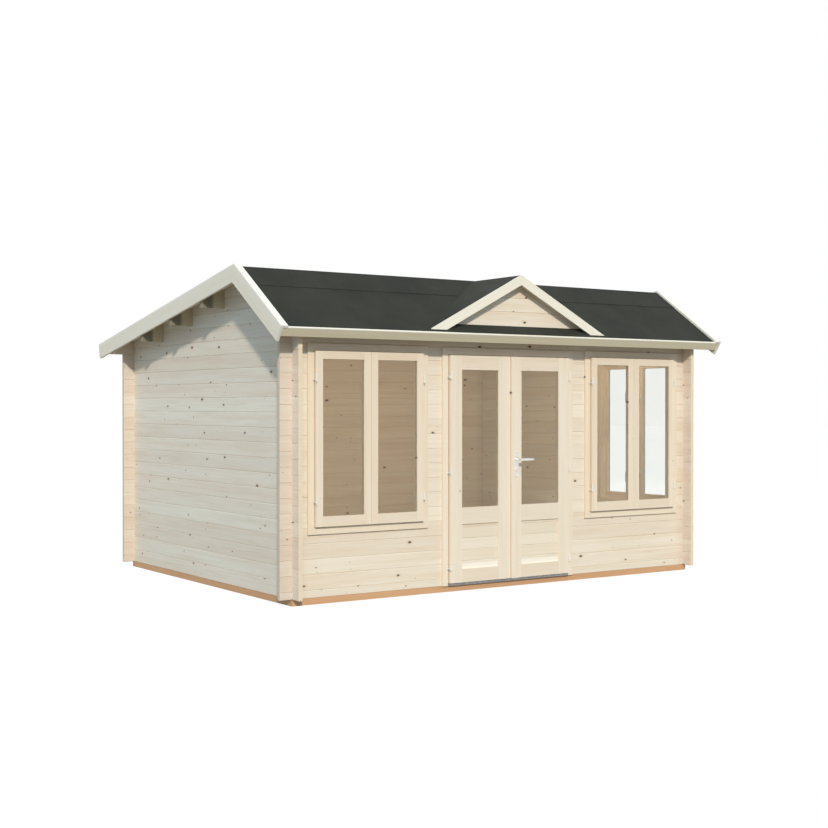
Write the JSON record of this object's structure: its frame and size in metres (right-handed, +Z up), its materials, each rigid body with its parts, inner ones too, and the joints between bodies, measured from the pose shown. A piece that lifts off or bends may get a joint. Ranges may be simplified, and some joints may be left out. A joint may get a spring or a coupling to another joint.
{
  "type": "log cabin",
  "caption": "Log cabin with interlocked log walls, an uneven pitched felt roof, a false gable over glazed double doors that swing outward, and paired casement windows.",
  "frame": {"origin": "middle of the footprint between the walls' outer faces, at ground level under the middle joist", "axes": "+X along the front to the right, +Y from the front to the back, +Z up"},
  "size_m": [4.42, 3.5271, 2.534],
  "materials": {
    "logs": "planed untreated spruce",
    "boards": "planed spruce boards",
    "joinery": "smooth pale spruce",
    "base_timber": "impregnated timber",
    "felt": "mineral roofing felt",
    "glass": "clear",
    "hinge_metal": "zinc plated",
    "handle_metal": "satin",
    "threshold_metal": "mill finish"
  },
  "bodies": {
    "cabin": {"base_frame": "base_timber", "floor": "boards", "front_wall_left": "logs", "front_wall_right": "logs", "front_wall_top": "logs", "rear_wall": "logs", "left_wall": "logs", "right_wall": "logs", "roof_purlins": "logs", "roof_deck": "boards", "roof_felt": "felt", "ridge_felt": "felt", "left_barge_boards": "joinery", "right_barge_boards": "joinery", "verge_strips": "joinery", "front_fascia": "joinery", "rear_fascia": "joinery", "dormer_gable": "logs", "dormer_deck": "boards", "dormer_felt": "felt", "dormer_barge_boards": "joinery", "left_window_frame": "joinery", "left_window_sashes": "joinery", "left_window_glass": "glass", "right_window_frame": "joinery", "right_window_sashes": "joinery", "right_window_glass": "glass", "side_window_frame": "joinery", "side_window_sashes": "joinery", "side_window_glass": "glass", "window_fittings": "hinge_metal", "door_frame": "joinery", "door_threshold": "threshold_metal", "door_hinge_pins": "hinge_metal"},
    "left_door": {"left_door_leaf": "joinery", "left_door_panel": "joinery", "left_door_glass": "glass", "left_door_barrels": "hinge_metal"},
    "right_door": {"right_door_leaf": "joinery", "right_door_panel": "joinery", "right_door_glass": "glass", "right_door_barrels": "hinge_metal", "door_cover_strip": "joinery", "door_handle_plates": "handle_metal"},
    "lever": {"door_lever": "handle_metal"}
  },
  "joints": [
    {"name": "left_door_swing", "type": "hinge", "parent": "cabin", "child": "left_door", "pos_m": [-0.6075, -1.5473, 0.966], "axis": [0, 0, -1], "range_deg": [0, 150]},
    {"name": "right_door_swing", "type": "hinge", "parent": "cabin", "child": "right_door", "pos_m": [0.6075, -1.5473, 0.966], "axis": [0, 0, 1], "range_deg": [0, 150]},
    {"name": "lever_turn", "type": "hinge", "parent": "right_door", "child": "lever", "pos_m": [0.0415, -1.52, 1.031], "axis": [0, 1, 0], "range_deg": [0, 40], "stiffness_Nm_per_rad": 2, "springref_deg": -17.19}
  ]
}
